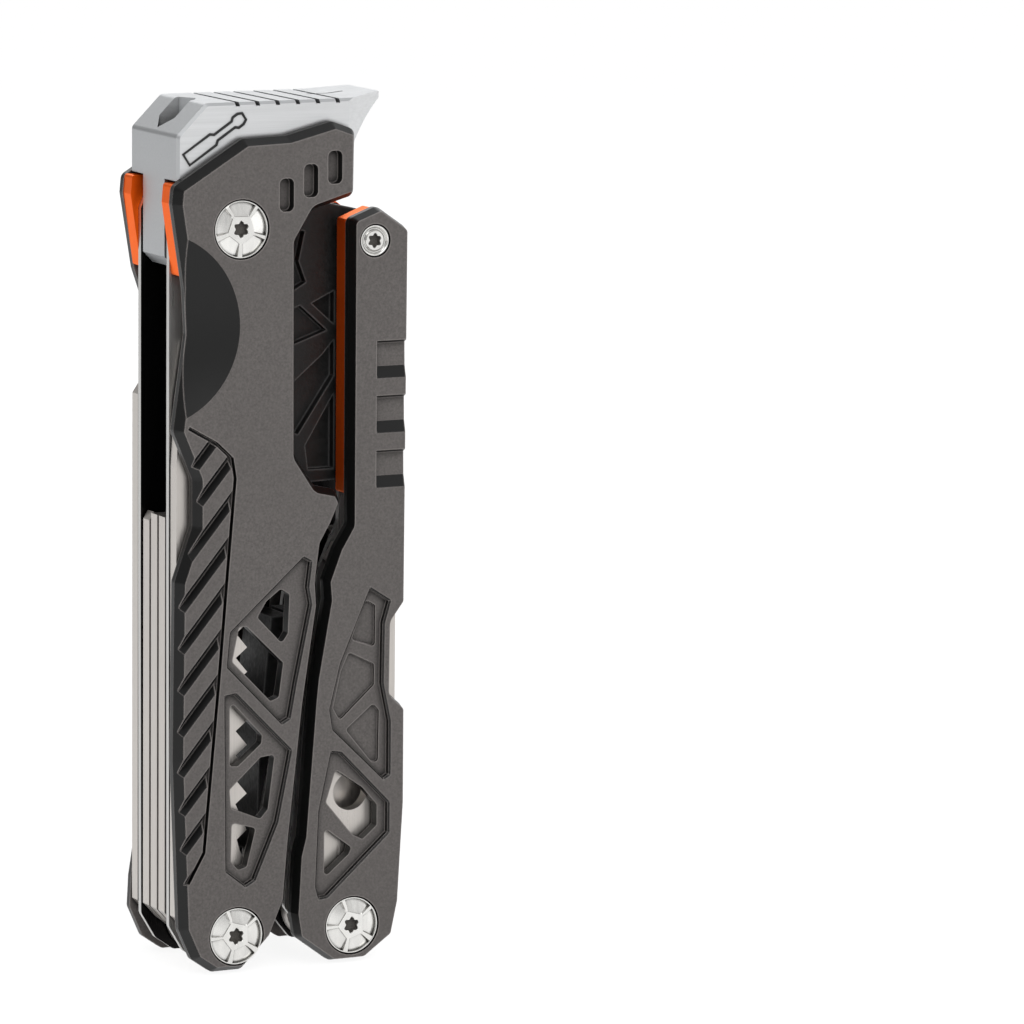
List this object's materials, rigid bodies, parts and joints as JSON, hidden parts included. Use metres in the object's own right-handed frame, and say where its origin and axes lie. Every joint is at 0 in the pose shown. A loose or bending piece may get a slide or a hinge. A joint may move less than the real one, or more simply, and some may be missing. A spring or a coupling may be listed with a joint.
{
  "type": "folding multi tool",
  "caption": "Pocket multi tool with a hammer and claw head, two hinged handles with open truss scales and folding tools in both.",
  "frame": {"origin": "centre of the bounding box at the base, on which the folded tool stands upright", "axes": "+Z from the base of the handles up to the hammer head, front scales facing -Y, +X from the left handle to the right handle"},
  "size_m": [0.0308, 0.0186, 0.1061],
  "materials": {
    "anodised_scale": "sandblasted dark grey anodising with black bevels",
    "liner_steel": "brushed",
    "orange_insert": "orange anodised",
    "head_steel": "fine brushed",
    "black_steel": "black textured coating",
    "screw_steel": "polished",
    "blade_steel": "satin"
  },
  "bodies": {
    "left_handle": {"front_scale_left": "anodised_scale", "rear_scale_left": "anodised_scale", "front_liner_left": "liner_steel", "rear_liner_left": "liner_steel", "front_insert_left": "orange_insert", "rear_insert_left": "orange_insert", "hammer_head": "head_steel", "centre_frame": "black_steel", "spine_left": "black_steel", "pivot_bolts_left": "screw_steel", "pivot_caps_left": "screw_steel", "washers_left": "liner_steel"},
    "right_handle": {"front_scale_right": "anodised_scale", "rear_scale_right": "anodised_scale", "front_liner_right": "liner_steel", "rear_liner_right": "liner_steel", "front_insert_right": "orange_insert", "rear_insert_right": "orange_insert", "spine_right": "black_steel", "pivot_bolt_right": "screw_steel", "pivot_cap_right": "screw_steel", "handle_pivot_bolt": "screw_steel", "handle_pivot_cap": "screw_steel", "washers_right": "liner_steel"},
    "knife_blade": {"knife_blade": "blade_steel"},
    "wood_saw": {"wood_saw": "blade_steel"},
    "file_blade": {"file_blade": "blade_steel"},
    "flat_driver": {"flat_driver": "blade_steel"},
    "awl": {"awl": "blade_steel"},
    "bottle_opener": {"bottle_opener": "blade_steel"},
    "cable_stripper": {"cable_stripper": "blade_steel"},
    "phillips_driver": {"phillips_driver": "blade_steel"},
    "can_opener": {"can_opener": "blade_steel"},
    "small_flat_driver": {"small_flat_driver": "blade_steel"}
  },
  "joints": [
    {"name": "right_handle_swing", "type": "hinge", "parent": "left_handle", "child": "right_handle", "pos_m": [0.01075, 0, 0.0885], "axis": [0, -1, 0], "range_deg": [0, 60]},
    {"name": "knife_blade_fold", "type": "hinge", "parent": "left_handle", "child": "knife_blade", "pos_m": [-0.00735, 0, 0.0044], "axis": [0, -1, 0], "range_deg": [0, 180]},
    {"name": "wood_saw_fold", "type": "hinge", "parent": "left_handle", "child": "wood_saw", "pos_m": [-0.00735, 0, 0.0044], "axis": [0, -1, 0], "range_deg": [0, 180]},
    {"name": "file_blade_fold", "type": "hinge", "parent": "left_handle", "child": "file_blade", "pos_m": [-0.00735, 0, 0.0044], "axis": [0, -1, 0], "range_deg": [0, 180]},
    {"name": "flat_driver_fold", "type": "hinge", "parent": "left_handle", "child": "flat_driver", "pos_m": [-0.00735, 0, 0.0044], "axis": [0, -1, 0], "range_deg": [0, 180]},
    {"name": "awl_fold", "type": "hinge", "parent": "left_handle", "child": "awl", "pos_m": [-0.00735, 0, 0.0044], "axis": [0, -1, 0], "range_deg": [0, 180]},
    {"name": "bottle_opener_fold", "type": "hinge", "parent": "right_handle", "child": "bottle_opener", "pos_m": [0.00815, 0, 0.0044], "axis": [0, 1, 0], "range_deg": [0, 180]},
    {"name": "cable_stripper_fold", "type": "hinge", "parent": "right_handle", "child": "cable_stripper", "pos_m": [0.00815, 0, 0.0044], "axis": [0, 1, 0], "range_deg": [0, 180]},
    {"name": "phillips_driver_fold", "type": "hinge", "parent": "right_handle", "child": "phillips_driver", "pos_m": [0.00815, 0, 0.0044], "axis": [0, 1, 0], "range_deg": [0, 180]},
    {"name": "can_opener_fold", "type": "hinge", "parent": "right_handle", "child": "can_opener", "pos_m": [0.00815, 0, 0.0044], "axis": [0, 1, 0], "range_deg": [0, 180]},
    {"name": "small_flat_driver_fold", "type": "hinge", "parent": "right_handle", "child": "small_flat_driver", "pos_m": [0.00815, 0, 0.0044], "axis": [0, 1, 0], "range_deg": [0, 180]}
  ]
}
